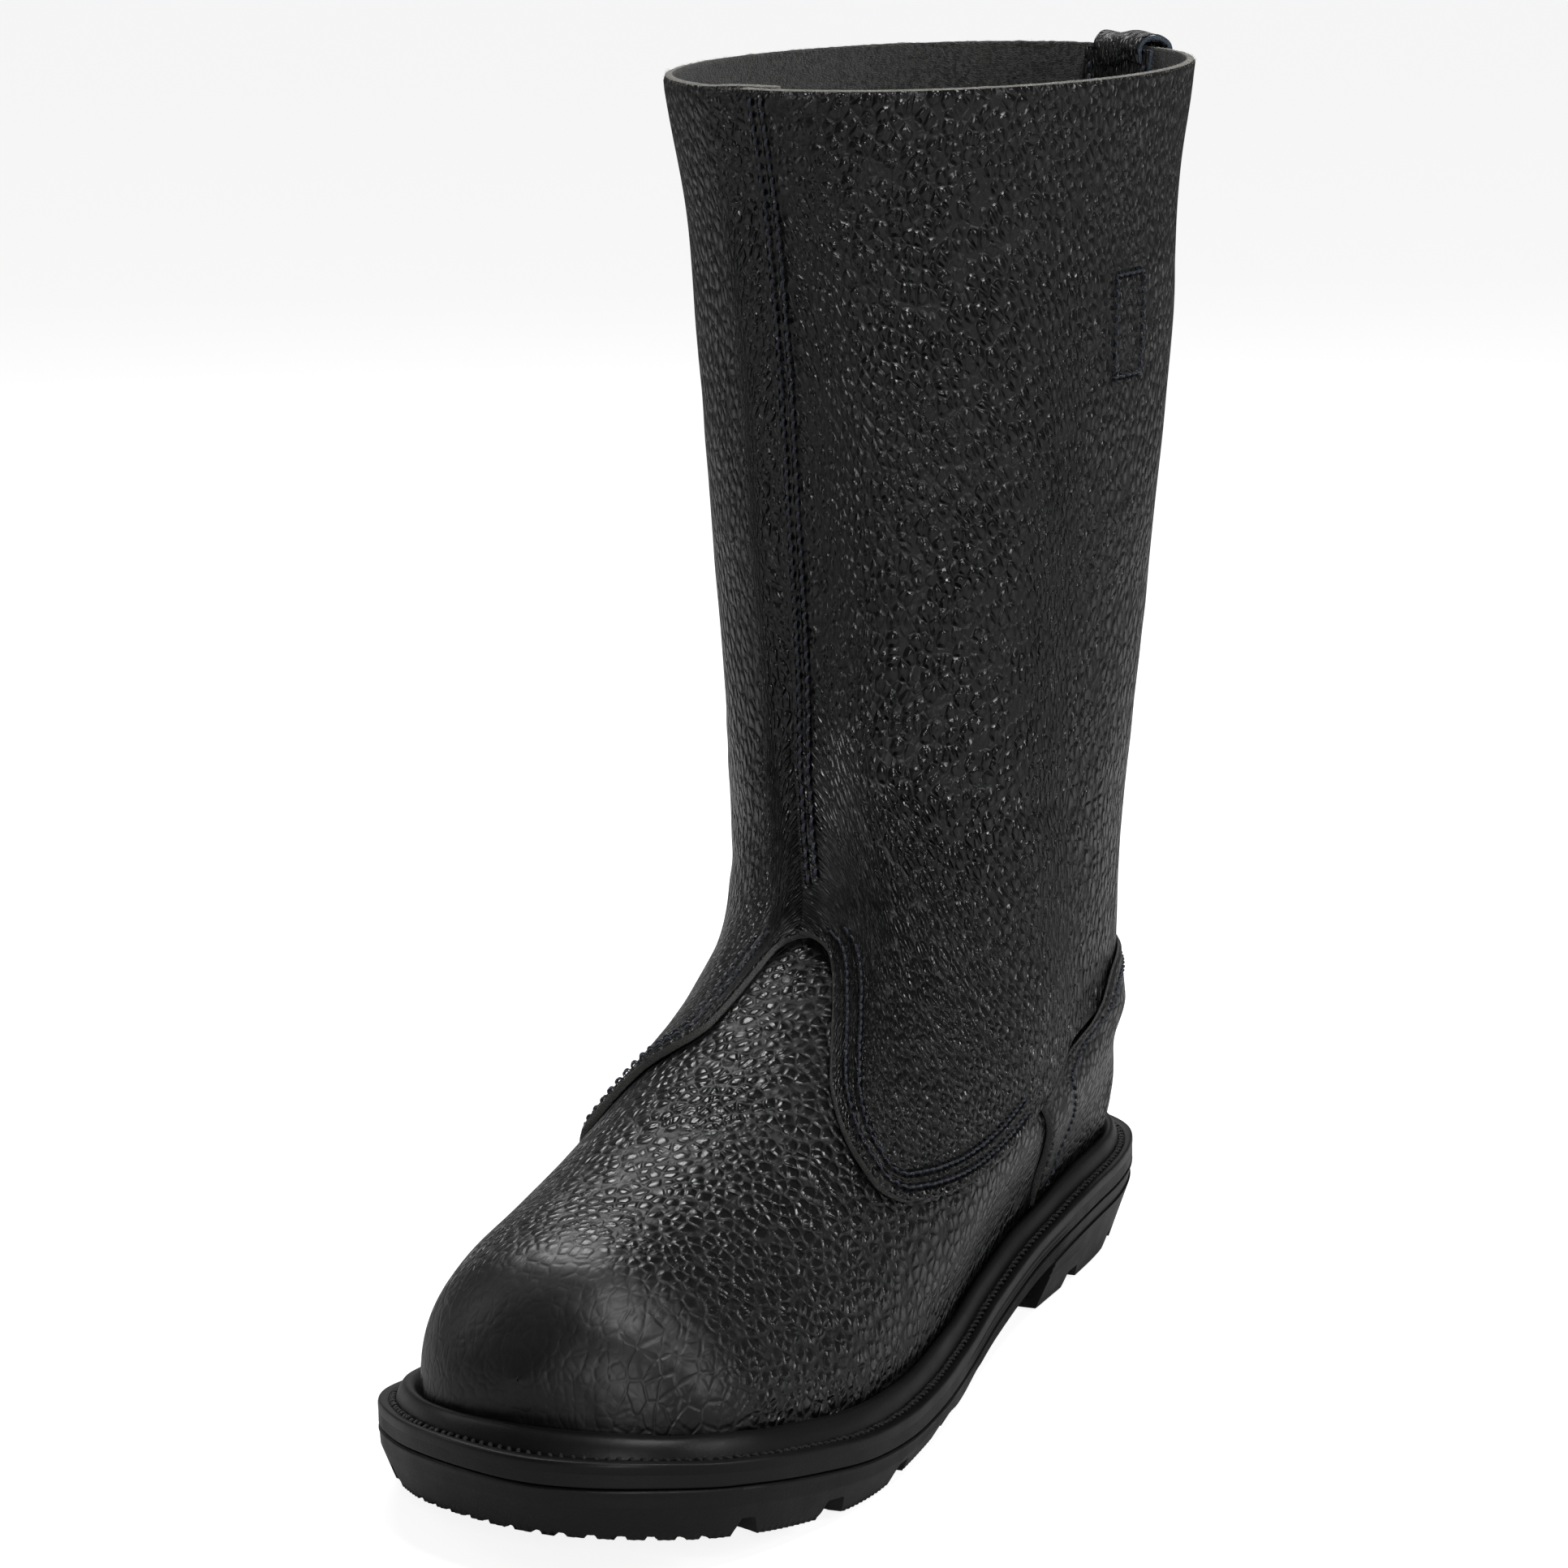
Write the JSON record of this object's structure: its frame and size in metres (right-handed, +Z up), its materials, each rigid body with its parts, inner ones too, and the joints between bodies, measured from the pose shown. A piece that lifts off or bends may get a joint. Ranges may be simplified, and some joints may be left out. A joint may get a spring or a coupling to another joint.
{
  "type": "fire boot",
  "caption": "Tall pull-on leather fire boot for the left foot, with a steel toe, a storm welt and a lugged rubber sole with a separate heel block.",
  "frame": {"origin": "On the ground plane, on the flat tread of the middle heel lug, under the centre of the heel.", "axes": "+Z up. -Y towards the toe. +X towards the wearer's left, which is the outer side of this left boot."},
  "size_m": [0.1189, 0.3309, 0.3008],
  "materials": {
    "upper_leather": "pebbled grain with a low wax sheen",
    "strap_leather": "fine creased grain, glossy",
    "lining": "matt non-woven lining",
    "steel": "satin",
    "felt": "matt felt",
    "sole_rubber": "satin moulded rubber",
    "thread": "waxed synthetic thread",
    "cork": "granular cork",
    "fibre_board": "matt fibre board",
    "insole_foam": "fabric-faced foam",
    "tape": "woven tape"
  },
  "bodies": {
    "boot": {"left_shaft_panel": "upper_leather", "right_shaft_panel": "upper_leather", "vamp": "upper_leather", "heel_cover": "upper_leather", "back_stay": "upper_leather", "back_seam_tape": "strap_leather", "toe_cap": "steel", "toe_cap_edge_pad": "felt", "vamp_lining": "lining", "heel_stiffener": "fibre_board", "heel_lining": "lining", "welt": "sole_rubber", "welt_thread": "thread", "midsole": "sole_rubber", "cork_filler": "cork", "shank": "steel", "puncture_plate": "steel", "insole_board": "fibre_board", "heel_nail_1": "steel", "heel_nail_2": "steel", "heel_nail_3": "steel", "heel_nail_4": "steel", "heel_nail_5": "steel", "outsole": "sole_rubber", "heel_block": "sole_rubber", "pull_tab_base": "strap_leather", "left_loop_base": "tape", "left_loop_thread": "thread", "right_loop_base": "tape", "right_loop_thread": "thread", "front_seam_thread_1": "thread", "front_seam_thread_2": "thread", "left_quarter_thread_1": "thread", "left_quarter_thread_2": "thread", "right_quarter_thread_1": "thread", "right_quarter_thread_2": "thread", "heel_cover_thread": "thread", "seam_tape_thread_1": "thread", "seam_tape_thread_2": "thread"},
    "insole": {"loose_insole": "insole_foam"},
    "tab": {"pull_tab": "strap_leather"},
    "left_loop": {"left_pull_loop": "tape"},
    "right_loop": {"right_pull_loop": "tape"}
  },
  "joints": [
    {"name": "pull_tab_fold", "type": "hinge", "parent": "boot", "child": "tab", "pos_m": [0.02504, 0.06239, 0.2944], "axis": [-0.8598, 0.5106, 0], "range_deg": [0, 95]},
    {"name": "left_loop_fold", "type": "hinge", "parent": "boot", "child": "left_loop", "pos_m": [0.05072, -0.02631, 0.25785], "axis": [-0.1022, -0.9939, -0.0423], "range_deg": [0, 75]},
    {"name": "right_loop_fold", "type": "hinge", "parent": "boot", "child": "right_loop", "pos_m": [-0.05072, -0.02631, 0.25785], "axis": [-0.1022, 0.9939, 0.0423], "range_deg": [0, 75]},
    {"name": "insole_lift", "type": "hinge", "parent": "boot", "child": "insole", "pos_m": [0, -0.236, 0.03], "axis": [1, 0, 0], "range_deg": [0, 3.4]}
  ]
}
